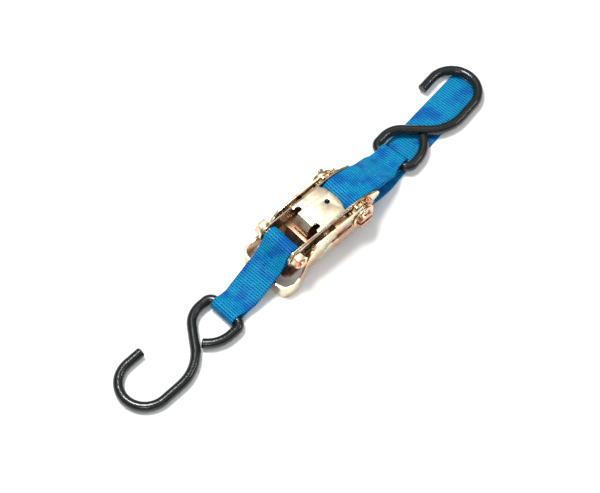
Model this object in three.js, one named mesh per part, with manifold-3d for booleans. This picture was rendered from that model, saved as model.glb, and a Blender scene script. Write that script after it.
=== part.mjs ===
// Ratchet tie down: a closed 25 mm ratchet buckle lying on its handle, with a short
// webbing loop on its fixed end and a long strap on its spool, each holding a
// vinyl-dipped S-hook. Millimetres, +Z up. While it is being built the spool's axis
// crosses x = 0 and the ground is z = 0; the last lines centre it over the origin.
import * as THREE from 'three';
import { mergeVertices } from 'three/addons/utils/BufferGeometryUtils.js';
import Module from 'manifold-3d';

const wasm = await Module();
wasm.setup();

// ---------------------------------------------------------------- driving dimensions
const GAP = 0.3; // clearance kept between neighbouring pieces
const SHEET = 1.5; // thickness of the pressed steel
const CURVE_STEPS = 8; // segments along each arc or spline of an outline

const WEB_THICKNESS = 1.4;
const MAIN_WIDTH = 25;
const FIXED_WIDTH = 23;

const AXLE_Z = 21.5;
const MANDREL_RADIUS = 6;
const MANDREL_SLOT = 3.2; // gap between the two half-round bars
const MANDREL_HALF_LENGTH = 23.4;
const ROLL_RADIUS = 10; // webbing wound on the mandrel

const TOP_Z = 34; // top face of the frame's base plate
const FRAME_INNER = 12.9; // half the width between the frame's side plates
const FRAME_OUTER = FRAME_INNER + SHEET;
const BOLT_X = -56.5;
const BOLT_Z = 27;
const BOLT_RADIUS = 2.9;
const SLEEVE_RADIUS = 4.5;
const LUG_RADIUS = 7;
const NUT_FLATS = 10;

const TEETH = 12;
const WHEEL_TIP = 13;
const WHEEL_ROOT = 10.5;
const WHEEL_THICKNESS = 2.6;
const WHEEL_INNER = FRAME_OUTER + 0.4;
const WHEEL_OUTER = WHEEL_INNER + WHEEL_THICKNESS;

const ARM_INNER = WHEEL_OUTER + 0.4; // handle arms, outside the wheels
const ARM_OUTER = ARM_INNER + SHEET;
const ARM_EYE_RADIUS = 10;
const GRIP_X = -74.5; // outer face of the grip
const GRIP_HEIGHT = 12;
const GRIP_FLARE = 3.2; // how far each arm spreads before the grip
const WASHER_THICKNESS = 0.9;
const COTTER_Y = 21.9;
const COTTER_RADIUS = 0.7;

const PAWL_Z = 20; // underside of the release pawl
const LOCK_Z = 26.5; // underside of the lock plate
const PLATE = 2; // thickness of both pawls

const WIRE_RADIUS = 3.5; // steel rod with its vinyl coat
const EYE_HALF = 10; // half the straight bar that the webbing loops round
const EYE_BEND = 5;
const EYE_WEB = 20.8; // webbing's width where it is drawn in round the bar
const HOOK_REACH = 90.5; // from the bar to the middle of the wire round the bowl
const EYE_FIT = 0.35; // webbing loop's clearance round the bar
const LOOP_RADIUS = WIRE_RADIUS + EYE_FIT + WEB_THICKNESS;

const FIXED_BAR = { x: -109.3, z: LOOP_RADIUS };
const MAIN_BAR = { x: 54.3, z: LOOP_RADIUS + WEB_THICKNESS + GAP };
const HOOK_LEAN = Math.asin((LOOP_RADIUS - WIRE_RADIUS) / HOOK_REACH); // bowl on the ground
const TAIL_END_X = 141.5;

// ---------------------------------------------------------------- materials
const zinc = new THREE.MeshStandardMaterial({ color: 0xd8b47c, metalness: 0.9, roughness: 0.32 });
const wheelSteel = new THREE.MeshStandardMaterial({ color: 0xb98f52, metalness: 0.9, roughness: 0.4 });
const springSteel = new THREE.MeshStandardMaterial({ color: 0x9a9da0, metalness: 0.9, roughness: 0.35 });
const webbing = new THREE.MeshStandardMaterial({ color: 0x0d78cf, metalness: 0, roughness: 0.85 });
const vinyl = new THREE.MeshStandardMaterial({ color: 0x141817, metalness: 0, roughness: 0.3 });

// ---------------------------------------------------------------- solids
function signedVolume(vertices, triangles) {
  const corner = (i) => new THREE.Vector3().fromArray(vertices, 3 * triangles[i]);
  let sum = 0;
  for (let i = 0; i < triangles.length; i += 3) {
    sum += corner(i).dot(corner(i + 1).cross(corner(i + 2)));
  }
  return sum / 6;
}

/** A closed geometry as a solid that can be joined and cut, its faces pointing out. */
function solid(geometry) {
  const bare = geometry.clone();
  bare.deleteAttribute('normal');
  bare.deleteAttribute('uv');
  const merged = mergeVertices(bare, 1e-4);
  const vertProperties = new Float32Array(merged.attributes.position.array);
  const triVerts = new Uint32Array(merged.index.array);
  if (signedVolume(vertProperties, triVerts) < 0) triVerts.reverse();
  return new wasm.Manifold(new wasm.Mesh({ numProp: 3, vertProperties, triVerts }));
}

function geometryOf(body) {
  const { vertProperties, triVerts } = body.getMesh();
  const geometry = new THREE.BufferGeometry();
  geometry.setAttribute('position', new THREE.BufferAttribute(new Float32Array(vertProperties), 3));
  geometry.setIndex(new THREE.BufferAttribute(new Uint32Array(triVerts), 1));
  return geometry;
}

const join = (...bodies) => bodies.reduce((whole, body) => whole.add(body));
const cut = (body, ...tools) => tools.reduce((left, tool) => left.subtract(tool), body);

const X = new THREE.Vector3(1, 0, 0);
const Y = new THREE.Vector3(0, 1, 0);
const Z = new THREE.Vector3(0, 0, 1);

function prism(shape, depth, basis, start) {
  const options = { depth, bevelEnabled: false, curveSegments: CURVE_STEPS };
  const geometry = new THREE.ExtrudeGeometry(shape, options);
  geometry.applyMatrix4(new THREE.Matrix4().makeBasis(...basis));
  geometry.translate(start.x, start.y, start.z);
  return solid(geometry);
}

/** An outline drawn in x and z, extruded from yLow to yHigh. */
const sidePrism = (shape, yLow, yHigh) =>
  prism(shape, yHigh - yLow, [X, Z, Y.clone().negate()], new THREE.Vector3(0, yHigh, 0));

/** An outline drawn in x and y, extruded from zLow to zHigh. */
const topPrism = (shape, zLow, zHigh) =>
  prism(shape, zHigh - zLow, [X, Y, Z], new THREE.Vector3(0, 0, zLow));

/** An outline drawn in y and z, extruded from xLow to xHigh. */
const crossPrism = (shape, xLow, xHigh) =>
  prism(shape, xHigh - xLow, [Y, Z, X], new THREE.Vector3(xLow, 0, 0));

function box(x0, x1, y0, y1, z0, z1) {
  const geometry = new THREE.BoxGeometry(x1 - x0, y1 - y0, z1 - z0);
  return solid(geometry.translate((x0 + x1) / 2, (y0 + y1) / 2, (z0 + z1) / 2));
}

/** A cylinder along Y, round the point (x, z). */
function crossBar(radius, yLow, yHigh, x, z, sides = 28) {
  const geometry = new THREE.CylinderGeometry(radius, radius, yHigh - yLow, sides);
  return solid(geometry.translate(x, (yLow + yHigh) / 2, z));
}

/** A cylinder along Z, round the point (x, y). */
function post(radius, zLow, zHigh, x, y, sides = 16) {
  const geometry = new THREE.CylinderGeometry(radius, radius, zHigh - zLow, sides);
  return solid(geometry.rotateX(Math.PI / 2).translate(x, y, (zLow + zHigh) / 2));
}

function circle(radius, x = 0, y = 0) {
  return new THREE.Path().absarc(x, y, radius, 0, 2 * Math.PI, false);
}

function disc(radius, x = 0, y = 0) {
  return new THREE.Shape(circle(radius, x, y).getPoints(3 * CURVE_STEPS).slice(0, -1));
}

/** A closed outline through the given [x, y] corners. */
const polygon = (corners) => new THREE.Shape(corners.map(([x, y]) => new THREE.Vector2(x, y)));

/** A rectangle with round ends of the given half width, from x0 to x1. */
function slotOutline(x0, x1, centre, half) {
  const shape = new THREE.Shape();
  shape.absarc(x1 - half, centre, half, -Math.PI / 2, Math.PI / 2, false);
  shape.absarc(x0 + half, centre, half, Math.PI / 2, 1.5 * Math.PI, false);
  return shape;
}

/** A round tube along a curve. */
function tube(curve, radius, sides, steps) {
  const section = new THREE.Shape(circle(radius).getPoints(sides / 2).slice(0, -1));
  const options = { steps, extrudePath: curve, bevelEnabled: false };
  return solid(new THREE.ExtrudeGeometry(section, options));
}

const radians = THREE.MathUtils.degToRad;

// ---------------------------------------------------------------- assembly helpers
const tieDown = new THREE.Group();

/** Adds a body to a group as a named mesh, and gives back the mesh. */
function addPiece(name, body, material, group = tieDown) {
  const mesh = new THREE.Mesh(geometryOf(body), material);
  mesh.name = name;
  group.add(mesh);
  return mesh;
}

const mirrored = (body) => body.mirror([0, 1, 0]);

// ---------------------------------------------------------------- frame
/** Cross-section of the folded frame: a channel open downwards, with round folds. */
function channelSection() {
  const fold = 2;
  const shape = new THREE.Shape();
  shape.moveTo(-FRAME_OUTER, 0);
  shape.lineTo(-FRAME_INNER, 0);
  shape.lineTo(-FRAME_INNER, TOP_Z - SHEET);
  shape.lineTo(FRAME_INNER, TOP_Z - SHEET);
  shape.lineTo(FRAME_INNER, 0);
  shape.lineTo(FRAME_OUTER, 0);
  shape.absarc(FRAME_OUTER - fold, TOP_Z - fold, fold, 0, Math.PI / 2, false);
  shape.absarc(fold - FRAME_OUTER, TOP_Z - fold, fold, Math.PI / 2, Math.PI, false);
  return shape;
}

const PLATE_BOTTOM = 22.6; // lower edge of the side plates between lug and spool
const BEARING_RADIUS = 10.9; // the side plates' round lower end, below the spool
const NOSE = { x: 16.5, z: 23.6, radius: 4 }; // rounded tip beyond the spool

/** Side view of a frame plate: bolt lug, straight top, drooping nose, round bearing. */
function frameProfile() {
  const shape = new THREE.Shape();
  shape.absarc(BOLT_X, BOLT_Z, LUG_RADIUS, 1.5 * Math.PI, Math.PI / 2, true);
  shape.lineTo(-6, TOP_Z);
  shape.quadraticCurveTo(6, TOP_Z, NOSE.x + 1, NOSE.z + NOSE.radius - 0.2);
  shape.absarc(NOSE.x, NOSE.z, NOSE.radius, 0.45 * Math.PI, -0.4 * Math.PI, true);
  const rise = Math.asin((PLATE_BOTTOM - AXLE_Z) / BEARING_RADIUS);
  shape.absarc(0, AXLE_Z, BEARING_RADIUS, radians(-60), -Math.PI - rise, true);
  shape.lineTo(-47, PLATE_BOTTOM);
  return shape;
}

const WINDOW_X = -35; // the base plate's front edge, where its tab bends down
const TAB_HALF = 6.5;

/** Outline of what is cut away behind the base plate, leaving its round tongue. */
function tongueCutter() {
  const shape = new THREE.Shape();
  shape.moveTo(30, -FRAME_INNER);
  shape.lineTo(-10.5, -FRAME_INNER);
  shape.bezierCurveTo(-9.5, -9, -7.5, -8, -7.5, 0);
  shape.bezierCurveTo(-7.5, 8, -9.5, 9, -10.5, FRAME_INNER);
  shape.lineTo(30, FRAME_INNER);
  return shape;
}

/** The spring seat: a tab that steps down from the base plate and turns upright. */
function springSeat() {
  const drop = polygon([
    [WINDOW_X + 2, TOP_Z],
    [WINDOW_X + 2, TOP_Z - SHEET],
    [WINDOW_X - 0.4, TOP_Z - SHEET],
    [WINDOW_X - 3.2, TOP_Z - 4.6],
    [WINDOW_X - 3.2, LOCK_Z - 2],
    [WINDOW_X - 4.7, LOCK_Z - 2],
    [WINDOW_X - 4.7, TOP_Z - 3.9],
    [WINDOW_X, TOP_Z],
  ]);
  return sidePrism(drop, -TAB_HALF, TAB_HALF);
}

const LOCK_SLOT = { x0: -26.4, x1: -9.6, z0: LOCK_Z - 0.4, z1: LOCK_Z + PLATE + 0.4 };

function frame() {
  const reach = FRAME_OUTER + 1;
  const channel = crossPrism(channelSection(), -70, 25).intersect(
    sidePrism(frameProfile(), -reach, reach),
  );
  const notch = (y) => topPrism(slotOutline(WINDOW_X - 6, WINDOW_X + 4.6, y, 2.1), 30, 36);
  return cut(
    join(
      cut(
        channel,
        box(-70, WINDOW_X, -FRAME_INNER, FRAME_INNER, 30, 36),
        topPrism(tongueCutter(), 28, 36),
      ),
      springSeat(),
    ),
    notch(8.9),
    notch(-8.9),
    post(1.9, 30, 36, -14.5, 0),
    crossBar(MANDREL_RADIUS + 0.4, -reach, reach, 0, AXLE_Z),
    crossBar(BOLT_RADIUS + GAP, -reach, reach, BOLT_X, BOLT_Z),
    box(LOCK_SLOT.x0, LOCK_SLOT.x1, -reach, reach, LOCK_SLOT.z0, LOCK_SLOT.z1),
  );
}

// ---------------------------------------------------------------- lock plate and springs
const LOCK_TIP_X = -10.2; // reaches between two wheel teeth
const LOCK_REAR_X = -27.5;

function lockPlate() {
  const wing = WHEEL_OUTER;
  const body = FRAME_INNER - GAP;
  const outline = polygon([
    [LOCK_REAR_X, -body],
    [-22, -body],
    [-22, -wing],
    [LOCK_TIP_X, -wing],
    [LOCK_TIP_X, -WHEEL_INNER + 0.1],
    [-12.6, -body],
    [-12.6, body],
    [LOCK_TIP_X, WHEEL_INNER - 0.1],
    [LOCK_TIP_X, wing],
    [-22, wing],
    [-22, body],
    [LOCK_REAR_X, body],
  ]);
  return topPrism(outline, LOCK_Z, LOCK_Z + PLATE);
}

class Helix extends THREE.Curve {
  constructor(x0, x1, z, radius, turns) {
    super();
    Object.assign(this, { x0, x1, z, radius, turns });
  }

  getPoint(t) {
    const angle = 2 * Math.PI * this.turns * t;
    return new THREE.Vector3(
      this.x0 + (this.x1 - this.x0) * t,
      this.radius * Math.sin(angle),
      this.z + this.radius * Math.cos(angle),
    );
  }
}

const COIL_WIRE = 0.45;
function coilSpring(x0, x1, z, radius, turns) {
  return tube(new Helix(x0, x1, z, radius, turns), COIL_WIRE, 6, 12 * turns);
}

// ---------------------------------------------------------------- spool
/** One half-round bar of the mandrel, above (+1) or below (-1) the slot. */
function halfMoon(radius, flat, side) {
  const start = Math.asin(flat / radius);
  const points = [];
  for (let i = 0; i <= 2 * CURVE_STEPS; i += 1) {
    const angle = start + ((Math.PI - 2 * start) * i) / (2 * CURVE_STEPS);
    points.push([radius * Math.cos(angle), AXLE_Z + side * radius * Math.sin(angle)]);
  }
  return polygon(points);
}

function mandrelHalf(side) {
  const bar = halfMoon(MANDREL_RADIUS, MANDREL_SLOT / 2, side);
  const pinHole = (y) => post(COTTER_RADIUS + GAP, AXLE_Z - 9, AXLE_Z + 9, 0, y, 12);
  return cut(
    sidePrism(bar, -MANDREL_HALF_LENGTH, MANDREL_HALF_LENGTH),
    pinHole(COTTER_Y),
    pinHole(-COTTER_Y),
  );
}

/** Cuts the two half-moon holes that key a piece to the mandrel. */
function keyed(body, yLow, yHigh) {
  const hole = (side) =>
    sidePrism(halfMoon(MANDREL_RADIUS + GAP, MANDREL_SLOT / 2 - GAP, side), yLow - 1, yHigh + 1);
  return cut(body, hole(1), hole(-1));
}

/** Saw-toothed outline, one flank steeper, with a tooth every 30 degrees from 15. */
function toothedOutline() {
  const corners = [];
  const flanks = [
    [-8, WHEEL_ROOT],
    [-2.5, WHEEL_TIP],
    [4.5, WHEEL_TIP],
    [7, WHEEL_ROOT],
  ];
  for (let tooth = 0; tooth < TEETH; tooth += 1) {
    const middle = (360 / TEETH) * (tooth + 0.5);
    for (const [offset, radius] of flanks) {
      const angle = radians(middle + offset);
      corners.push([radius * Math.cos(angle), AXLE_Z + radius * Math.sin(angle)]);
    }
  }
  return polygon(corners);
}

const ratchetWheel = () =>
  keyed(sidePrism(toothedOutline(), WHEEL_INNER, WHEEL_OUTER), WHEEL_INNER, WHEEL_OUTER);

const washerInner = ARM_OUTER + GAP;
const axleWasher = () =>
  cut(
    crossBar(9, washerInner, washerInner + WASHER_THICKNESS, 0, AXLE_Z),
    crossBar(MANDREL_RADIUS + GAP, washerInner - 1, washerInner + 3, 0, AXLE_Z),
  );

/** Split pin through the mandrel: ring on top, shank, and one leg bent over below. */
function cotterPin() {
  const eye = new THREE.TorusGeometry(1.7, COTTER_RADIUS, 8, 18);
  eye.rotateX(Math.PI / 2).translate(0, COTTER_Y, AXLE_Z + 9);
  const leg = new THREE.CylinderGeometry(COTTER_RADIUS, COTTER_RADIUS, 4, 12);
  leg.rotateZ(Math.PI / 2).translate(-1.4, COTTER_Y, AXLE_Z - 7.6);
  return join(
    solid(eye),
    solid(leg),
    post(COTTER_RADIUS, AXLE_Z - 7.9, AXLE_Z + 7.6, 0, COTTER_Y, 12),
  );
}

const woundStrap = () =>
  keyed(
    crossBar(ROLL_RADIUS, -MAIN_WIDTH / 2, MAIN_WIDTH / 2, 0, AXLE_Z, 40),
    -MAIN_WIDTH / 2,
    MAIN_WIDTH / 2,
  );

// ---------------------------------------------------------------- handle
/** Plan of the bent strip: two arms that flare into a grip with round corners. */
function handlePlan() {
  const flareX = -46;
  const cornerX = -66;
  const side = (outward, sign) => {
    const arm = (outward ? ARM_OUTER : ARM_INNER) * sign;
    const wide = arm + GRIP_FLARE * sign;
    const end = outward ? GRIP_X : GRIP_X + SHEET;
    return { arm, wide, end };
  };
  const trace = (path, outward) => {
    const near = side(outward, -1);
    const far = side(outward, 1);
    path.moveTo(12, near.arm);
    path.lineTo(flareX, near.arm);
    path.bezierCurveTo(flareX - 8, near.arm, cornerX + 8, near.wide, cornerX + 2, near.wide);
    path.bezierCurveTo(near.end + 2, near.wide, near.end, near.wide + 3, near.end, near.wide + 9);
    path.lineTo(far.end, far.wide - 9);
    path.bezierCurveTo(far.end, far.wide - 3, far.end + 2, far.wide, cornerX + 2, far.wide);
    path.bezierCurveTo(cornerX + 8, far.wide, flareX - 8, far.arm, flareX, far.arm);
    path.lineTo(12, far.arm);
    return path.getPoints(CURVE_STEPS);
  };
  const outer = trace(new THREE.Path(), true);
  const inner = trace(new THREE.Path(), false).reverse();
  return new THREE.Shape([...outer, ...inner]);
}

/** Side view of the handle: deep arms from the spool, stepping down to the grip. */
function handleProfile() {
  const shape = new THREE.Shape();
  shape.absarc(0, AXLE_Z, ARM_EYE_RADIUS, -Math.PI / 2, Math.PI / 2, false);
  shape.lineTo(-38, AXLE_Z + ARM_EYE_RADIUS);
  shape.bezierCurveTo(-50, AXLE_Z + ARM_EYE_RADIUS, -52, GRIP_HEIGHT, -64, GRIP_HEIGHT);
  shape.lineTo(GRIP_X - 1, GRIP_HEIGHT);
  shape.lineTo(GRIP_X - 1, 0);
  shape.lineTo(-66, 0);
  shape.bezierCurveTo(-56, 0, -56, WEB_LOW, -46, WEB_LOW);
  shape.lineTo(-10, WEB_LOW);
  return shape;
}

const WEB_LOW = 10.6; // underside of the plate that joins the arms
const WEB_X = [-45, -24.5];
const PAWL_TRAVEL = 4; // away from the wheels
const PAWL_ENGAGE = 2.4; // into a gap between two wheel teeth
const PAWL_WING = { x0: -23.5, x1: -13.7 };
const PAWL_RECESS = { x: -18.5, half: 13.3 }; // the pawl's middle stays clear of the webbing
const HANDLE_STOP_X = -41; // upright lug that the pawl spring pushes on

function handle() {
  const reach = ARM_OUTER + 8;
  const strip = topPrism(handlePlan(), -1, 40).intersect(
    sidePrism(handleProfile(), -reach, reach),
  );
  const web = box(WEB_X[0], WEB_X[1], -ARM_INNER - 0.5, ARM_INNER + 0.5, WEB_LOW, WEB_LOW + SHEET);
  const lug = box(HANDLE_STOP_X - SHEET, HANDLE_STOP_X, -4, 4, WEB_LOW + 0.5, 17.4);
  const pawlSlot = slotOutline(
    PAWL_WING.x0 - PAWL_TRAVEL - 1.6,
    PAWL_WING.x1 + PAWL_ENGAGE + 1.6,
    PAWL_Z + PLATE / 2,
    PLATE / 2 + 0.5,
  );
  return cut(
    join(strip, web, lug),
    crossBar(MANDREL_RADIUS + 0.4, -reach, reach, 0, AXLE_Z),
    sidePrism(pawlSlot, -reach, reach),
  );
}

/** The release pawl: a stepped plate, with wings in the handle's slots and a finger pull. */
function releasePawl() {
  const finger = 9; // height of the finger pull's underside
  const step = polygon([
    [PAWL_WING.x1, PAWL_Z + PLATE],
    [-42, PAWL_Z + PLATE],
    [-53, finger + PLATE],
    [-66, finger + PLATE],
    [-66, finger],
    [-54, finger],
    [-43, PAWL_Z],
    [PAWL_WING.x1, PAWL_Z],
  ]);
  const body = 15;
  const plan = new THREE.Shape();
  plan.moveTo(PAWL_WING.x1, -ARM_OUTER - 0.9);
  plan.lineTo(PAWL_WING.x1, -PAWL_RECESS.half);
  plan.lineTo(PAWL_RECESS.x, -PAWL_RECESS.half);
  plan.lineTo(PAWL_RECESS.x, PAWL_RECESS.half);
  plan.lineTo(PAWL_WING.x1, PAWL_RECESS.half);
  plan.lineTo(PAWL_WING.x1, ARM_OUTER + 0.9);
  plan.lineTo(PAWL_WING.x0, ARM_OUTER + 0.9);
  plan.lineTo(PAWL_WING.x0, body);
  plan.lineTo(-61, body);
  plan.absarc(-61, body - 5, 5, Math.PI / 2, Math.PI, false);
  plan.absarc(-61, 5 - body, 5, Math.PI, 1.5 * Math.PI, false);
  plan.lineTo(PAWL_WING.x0, -body);
  plan.lineTo(PAWL_WING.x0, -ARM_OUTER - 0.9);
  const plate = sidePrism(step, -30, 30).intersect(topPrism(plan, 0, 40));
  return join(plate, box(-28, -26.6, -4, 4, WEB_LOW + SHEET + 0.8, PAWL_Z + 0.5));
}

// ---------------------------------------------------------------- anchor bolt
function hexagon(flats, x, z) {
  const radius = flats / Math.sqrt(3);
  const corner = (i) => [
    x + radius * Math.cos((i * Math.PI) / 3),
    z + radius * Math.sin((i * Math.PI) / 3),
  ];
  return polygon([0, 1, 2, 3, 4, 5].map(corner));
}

const NUT_Y = [-FRAME_OUTER - GAP - 5.2, -FRAME_OUTER - GAP];
const BOLT_WASHER_Y = [FRAME_OUTER + GAP, FRAME_OUTER + GAP + 1.2];
const HEAD_Y = [BOLT_WASHER_Y[1] + GAP, BOLT_WASHER_Y[1] + GAP + 4];

const anchorBolt = () =>
  join(
    sidePrism(hexagon(NUT_FLATS, BOLT_X, BOLT_Z), ...HEAD_Y),
    crossBar(BOLT_RADIUS, NUT_Y[0] - 1.6, HEAD_Y[0] + 1, BOLT_X, BOLT_Z, 20),
  );

const anchorNut = () =>
  cut(
    sidePrism(hexagon(NUT_FLATS, BOLT_X, BOLT_Z), ...NUT_Y),
    crossBar(BOLT_RADIUS + GAP, NUT_Y[0] - 1, NUT_Y[1] + 1, BOLT_X, BOLT_Z, 20),
  );

function ringOnBolt(radius, yLow, yHigh) {
  return cut(
    crossBar(radius, yLow, yHigh, BOLT_X, BOLT_Z),
    crossBar(BOLT_RADIUS + GAP, yLow - 1, yHigh + 1, BOLT_X, BOLT_Z, 20),
  );
}

// ---------------------------------------------------------------- S-hooks
/** The wire as a bender makes it, from the tip: straights, and bends [radius, degrees]. */
const HOOK_RUNS = [
  { straight: 12.5 },
  { radius: 18, turn: -180 },
  { straight: 14 },
  { radius: 31, turn: -54 },
  { straight: 16.5 },
  { radius: 17, turn: 54 },
  { straight: 5 },
  { radius: EYE_BEND, turn: 90 },
  { straight: 2 * EYE_HALF },
  { radius: EYE_BEND, turn: 90 },
  { straight: 5 },
  { radius: 22, turn: 54 },
];
const BAR_RUN = 8; // the straight that the webbing loops round

class BentWire extends THREE.Curve {
  /** Lays the runs out in a plane, with the eye's bar centred on the origin along Y. */
  constructor(runs, barRun) {
    super();
    this.runs = runs.map((run) => ({
      ...run,
      length: run.straight ?? run.radius * Math.abs(radians(run.turn)),
    }));
    this.total = this.runs.reduce((sum, run) => sum + run.length, 0);
    this.start = { x: 0, y: 0, heading: 0 };
    const before = this.runs.slice(0, barRun).reduce((sum, run) => sum + run.length, 0);
    const bar = this.runs[barRun];
    const middle = this.walk(before + bar.length / 2);
    this.start = { x: 0, y: 0, heading: -Math.PI / 2 - middle.heading };
    const turned = this.walk(before + bar.length / 2);
    this.start.x = -turned.x;
    this.start.y = -turned.y;
  }

  walk(distance) {
    let { x, y, heading } = this.start;
    let left = distance;
    for (const run of this.runs) {
      const length = Math.min(left, run.length);
      if (run.straight) {
        x += length * Math.cos(heading);
        y += length * Math.sin(heading);
      } else {
        const side = Math.sign(run.turn);
        const after = heading + (side * length) / run.radius;
        x += side * run.radius * (Math.sin(after) - Math.sin(heading));
        y -= side * run.radius * (Math.cos(after) - Math.cos(heading));
        heading = after;
      }
      left -= length;
      if (left <= 0) break;
    }
    return { x, y, heading };
  }

  getPoint(t) {
    const { x, y } = this.walk(t * this.total);
    return new THREE.Vector3(x, y, 0);
  }
}

/** A hook in a group of its own, its bar at the group's origin and its bowl along +X. */
function addHook(name, bar, swing, flipped) {
  const group = new THREE.Group();
  group.position.set(bar.x, bar.y, bar.z);
  group.rotation.set(0, HOOK_LEAN, swing, 'ZYX');
  const wire = tube(new BentWire(HOOK_RUNS, BAR_RUN), WIRE_RADIUS, 12, 76);
  addPiece(name, flipped ? mirrored(wire) : wire, vinyl, group);
  tieDown.add(group);
}

// ---------------------------------------------------------------- webbing
/** A side-view band that follows a curve in x and z, with its half thickness given. */
function band(curve, half, steps) {
  const upper = [];
  const lower = [];
  for (let i = 0; i <= steps; i += 1) {
    const point = curve.getPoint(i / steps);
    const along = curve.getTangent(i / steps);
    upper.push([point.x - along.y * half, point.y + along.x * half]);
    lower.unshift([point.x + along.y * half, point.y - along.x * half]);
  }
  return polygon([...upper, ...lower]);
}

/** A drop: round about a centre, its sides running together towards a point. */
function drop(centre, radius, towards, half) {
  const away = Math.atan2(towards.y - centre.z, towards.x - centre.x);
  const reach = Math.hypot(towards.x - centre.x, towards.y - centre.z);
  const open = Math.acos((radius - half) / reach);
  const points = [];
  for (let i = 0; i <= 20; i += 1) {
    const angle = away + open + ((2 * Math.PI - 2 * open) * i) / 20;
    points.push([centre.x + radius * Math.cos(angle), centre.z + radius * Math.sin(angle)]);
  }
  const normal = [-Math.sin(away) * half, Math.cos(away) * half];
  points.push([towards.x - normal[0], towards.y - normal[1]]);
  points.push([towards.x + normal[0], towards.y + normal[1]]);
  return polygon(points);
}

const spline = (points) => new THREE.SplineCurve(points.map(([x, z]) => new THREE.Vector2(x, z)));

/** How far a strap has wandered sideways at x, and its heading, after the bends it has passed. */
function wander(x, way, bends) {
  let y = 0;
  let pitch = 0;
  for (const { start, ramp, slope } of bends) {
    const run = Math.max(0, (x - start) * way);
    y += slope * (run < ramp ? run ** 2 / (2 * ramp) : run - ramp / 2);
    pitch += slope * Math.min(1, run / ramp);
  }
  return { y, heading: Math.atan(pitch) * way };
}

/** Bends a straight strap sideways in plan, and draws it in where it enters a hook's eye. */
function steer(body, path, narrowing) {
  const geometry = geometryOf(body);
  const position = geometry.attributes.position;
  for (let i = 0; i < position.count; i += 1) {
    const x = position.getX(i);
    const across = position.getY(i) * narrowing(x);
    const { y, heading } = path(x);
    position.setXY(i, x - across * Math.sin(heading), y + across * Math.cos(heading));
  }
  return solid(geometry);
}

const AWAY = { start: 19, ramp: 8, slope: 0.215 }; // both straps on the spool's side turn here
const mainPath = (x) => wander(x, 1, [AWAY, { start: 46, ramp: 8, slope: -0.065 }]);
const tailPath = (x) => wander(x, 1, [AWAY, { start: 46, ramp: 8, slope: -0.095 }]);
const fixedPath = (x) =>
  wander(x, -1, [
    { start: BOLT_X - 6, ramp: 16, slope: -0.085 },
    { start: -95, ramp: 8, slope: 0.06 },
  ]);

/** The webbing is drawn in to the eye's width over the last few millimetres. */
function drawnIn(width, barX) {
  const narrow = EYE_WEB / width;
  return (x) => narrow + (1 - narrow) * THREE.MathUtils.smoothstep(Math.abs(x - barX), 5, 17);
}

const BOLT_LOOP = SLEEVE_RADIUS + GAP + WEB_THICKNESS;
const BAR_HOLE = WIRE_RADIUS + EYE_FIT;

/** The fixed strap: one sling sewn flat between its loops on the bolt and on the hook. */
function fixedStrap() {
  const bolt = { x: BOLT_X, z: BOLT_Z };
  const seam = spline([
    [BOLT_X - 9.5, 20.6],
    [-71.5, 15.4],
    [-75.5, 14.2],
    [-81, 11.6],
    [-92, 7.2],
    [-98, 6],
  ]);
  const boltPoint = seam.getPoint(0);
  const barPoint = seam.getPoint(1);
  const half = FIXED_WIDTH / 2;
  const part = (shape) => sidePrism(shape, -half, half);
  const hole = (shape) => sidePrism(shape, -half - 1, half + 1);
  const sling = cut(
    join(
      part(band(seam, WEB_THICKNESS, 24)),
      part(drop(bolt, BOLT_LOOP, boltPoint, WEB_THICKNESS)),
      part(drop(FIXED_BAR, LOOP_RADIUS, barPoint, WEB_THICKNESS)),
    ),
    hole(drop(bolt, SLEEVE_RADIUS + GAP, boltPoint, 0.05)),
    hole(drop(FIXED_BAR, BAR_HOLE, barPoint, 0.05)),
  );
  return steer(sling, fixedPath, drawnIn(FIXED_WIDTH, FIXED_BAR.x));
}

const LEAVE_RADIUS = ROLL_RADIUS + GAP + WEB_THICKNESS / 2;

/** Points on the arc that a strap follows before it leaves the roll. */
function overRoll(degrees) {
  const angle = radians(degrees);
  return [LEAVE_RADIUS * Math.cos(angle), AXLE_Z + LEAVE_RADIUS * Math.sin(angle)];
}

/** The main strap from the top of the roll, doubled and sewn before the hook's loop. */
function mainStrap() {
  const onRoll = [150, 135, 120, 105, 90, 75].map(overRoll);
  const single = spline([...onRoll, [12, 29.4], [22, 25.2]]);
  const doubled = spline([
    [20, 26.1],
    [27, 22.6],
    [36, 16.8],
    [42.5, 12.4],
  ]);
  const loopPoint = doubled.getPoint(1);
  const half = MAIN_WIDTH / 2;
  const part = (shape) => sidePrism(shape, -half, half);
  const strap = cut(
    join(
      part(band(single, WEB_THICKNESS / 2, 28)),
      part(band(doubled, WEB_THICKNESS, 12)),
      part(drop(MAIN_BAR, LOOP_RADIUS, loopPoint, WEB_THICKNESS)),
    ),
    sidePrism(drop(MAIN_BAR, BAR_HOLE, loopPoint, 0.05), -half - 1, half + 1),
  );
  return steer(strap, mainPath, drawnIn(MAIN_WIDTH, MAIN_BAR.x));
}

/** The free tail, from the underside of the roll down to the ground and along it. */
function tailStrap() {
  const flat = WEB_THICKNESS / 2;
  const steps = [];
  for (let x = 56; x <= TAIL_END_X; x += (TAIL_END_X - 56) / 6) steps.push([x, flat]);
  const path = spline([
    overRoll(-105),
    overRoll(-90),
    [12, 10.3],
    [20, 8.6],
    [28, 5.2],
    [35, 2.2],
    [41, flat + 0.1],
    [46, flat],
    ...steps,
  ]);
  const strap = sidePrism(band(path, flat, 48), -MAIN_WIDTH / 2, MAIN_WIDTH / 2);
  return steer(strap, tailPath, () => 1);
}

// ---------------------------------------------------------------- assembly
addPiece('frame', frame(), zinc);
addPiece('lock_plate', lockPlate(), zinc);
addPiece('lock_spring', coilSpring(WINDOW_X - 2.3, LOCK_REAR_X - 0.8, LOCK_Z + 1, 1.8, 5), springSteel);

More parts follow.
